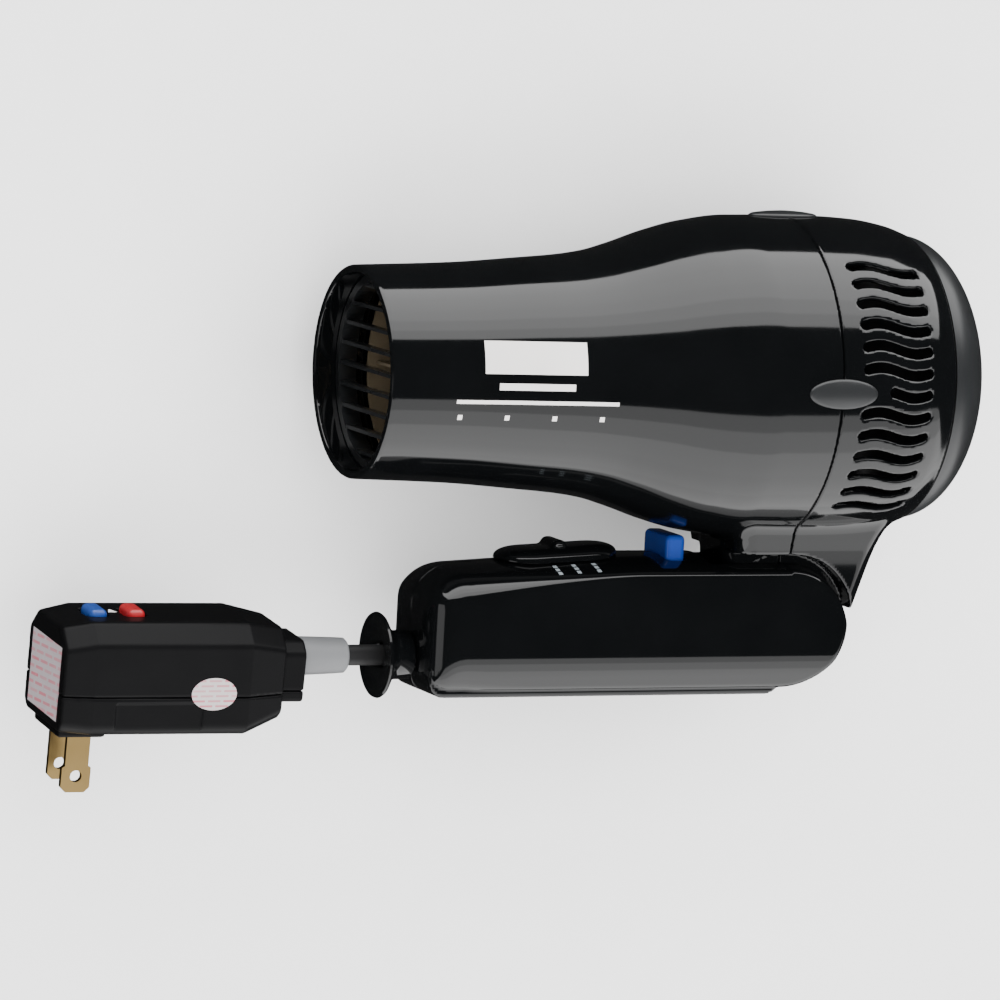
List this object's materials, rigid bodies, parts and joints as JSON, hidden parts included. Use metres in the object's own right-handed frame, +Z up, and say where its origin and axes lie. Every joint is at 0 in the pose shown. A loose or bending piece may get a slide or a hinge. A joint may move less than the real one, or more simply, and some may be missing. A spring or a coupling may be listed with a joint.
{
  "type": "travel hair dryer",
  "caption": "Folding travel hair dryer in gloss black, lying on its side, handle folded under the barrel and retractable cord drawn in with a safety plug at the handle's end.",
  "frame": {"origin": "centre of the footprint of the dryer without its plug, at the lowest point of the fan housing's side", "axes": "+X along the barrel from the nozzle to the rear, +Y from the folded handle to the barrel, +Z up, out of the dryer's left side"},
  "size_m": [0.2574, 0.154, 0.0892],
  "materials": {
    "gloss_black_plastic": "polished gloss black housing plastic",
    "satin_black_plastic": "fine satin texture",
    "plug_black_plastic": "semi-gloss moulded plug plastic",
    "blue_plastic": "glossy blue",
    "red_plastic": "glossy red",
    "grey_sleeve": "soft matt grey",
    "cord_rubber": "matt black cord jacket",
    "wire_insulation": "glass-braid sleeved wire",
    "mica": "matt mica sheet",
    "heater_wire": "oxidised resistance wire",
    "steel": "plated steel",
    "brass": "brushed brass",
    "inner_plastic": "dark heat-resistant plastic",
    "circuit_board": "green solder mask",
    "ceramic_body": "matt ceramic"
  },
  "bodies": {
    "barrel": {"front_barrel": "gloss_black_plastic", "rear_housing": "gloss_black_plastic", "rear_cap": "satin_black_plastic", "oval_cap_left": "satin_black_plastic", "oval_cap_right": "satin_black_plastic", "oval_cap_top": "satin_black_plastic", "outlet_grille": "satin_black_plastic", "heat_shield": "mica", "mica_board_upright": "mica", "mica_board_level": "mica", "heater_coil_low": "heater_wire", "heater_coil_high": "heater_wire", "thermostat": "ceramic_body", "thermal_fuse": "ceramic_body", "motor_can": "steel", "motor_mount": "inner_plastic", "rectifier_board": "circuit_board", "housing_screw_1": "steel", "housing_screw_2": "steel", "barrel_leads": "wire_insulation", "hinge_pin": "steel"},
    "fan": {"motor_shaft": "steel", "fan_rotor": "inner_plastic"},
    "handle": {"handle_left_shell": "gloss_black_plastic", "handle_right_shell": "gloss_black_plastic", "handle_screw_1": "steel", "handle_screw_2": "steel", "switch_block": "inner_plastic", "cool_shot_switch": "inner_plastic", "cool_shot_spring": "steel", "reel_axle": "steel", "brush_block": "inner_plastic", "brake_pawl": "steel", "handle_leads": "wire_insulation", "cord_exit_flange": "gloss_black_plastic"},
    "switch_slider_body": {"switch_slider": "gloss_black_plastic"},
    "cool_shot_body": {"cool_shot_button": "blue_plastic"},
    "reel": {"reel_drum": "inner_plastic", "cord_winding": "cord_rubber", "clock_spring": "steel", "slip_ring": "brass"},
    "plug": {"cord_stub": "cord_rubber", "cord_sleeve": "grey_sleeve", "plug_top_shell": "plug_black_plastic", "plug_bottom_shell": "plug_black_plastic", "plug_blade_wide": "brass", "plug_blade_narrow": "brass", "plug_circuit_board": "circuit_board", "trip_coil": "brass"},
    "test_button_body": {"test_button": "blue_plastic"},
    "reset_button_body": {"reset_button": "red_plastic"}
  },
  "joints": [
    {"name": "fan_spin", "type": "hinge", "parent": "barrel", "child": "fan", "pos_m": [0.01535, 0.02085, 0.0446], "axis": [1, 0, 0], "continuous": true},
    {"name": "handle_fold", "type": "hinge", "parent": "barrel", "child": "handle", "pos_m": [0.03515, -0.04445, 0.0446], "axis": [0, 0, 1], "range_deg": [0, 95]},
    {"name": "switch_slide", "type": "slide", "parent": "handle", "child": "switch_slider_body", "axis": [0.9983, 0.058, 0], "range_m": [-0.0055, 0.0055]},
    {"name": "cool_shot_press", "type": "slide", "parent": "handle", "child": "cool_shot_body", "axis": [0, -1, 0], "range_m": [0, 0.002], "stiffness_N_per_m": 500, "springref_m": -0.001},
    {"name": "plug_pull", "type": "slide", "parent": "handle", "child": "plug", "axis": [-1, 0, 0], "range_m": [0, 0.06]},
    {"name": "reel_spin", "type": "hinge", "parent": "handle", "child": "reel", "pos_m": [-0.04965, -0.04575, 0.0446], "axis": [0, 0, -1], "range_deg": [0, 300]},
    {"name": "test_press", "type": "slide", "parent": "plug", "child": "test_button_body", "axis": [-0.008, -0.995, -0.0998], "range_m": [0, 0.0012], "stiffness_N_per_m": 600, "springref_m": -0.001},
    {"name": "reset_press", "type": "slide", "parent": "plug", "child": "reset_button_body", "axis": [-0.008, -0.995, -0.0998], "range_m": [0, 0.0012], "stiffness_N_per_m": 600, "springref_m": -0.001}
  ],
  "couplings": [
    {"joint": "reel_spin", "follows": "plug_pull", "rad_per_m": 84.7}
  ]
}
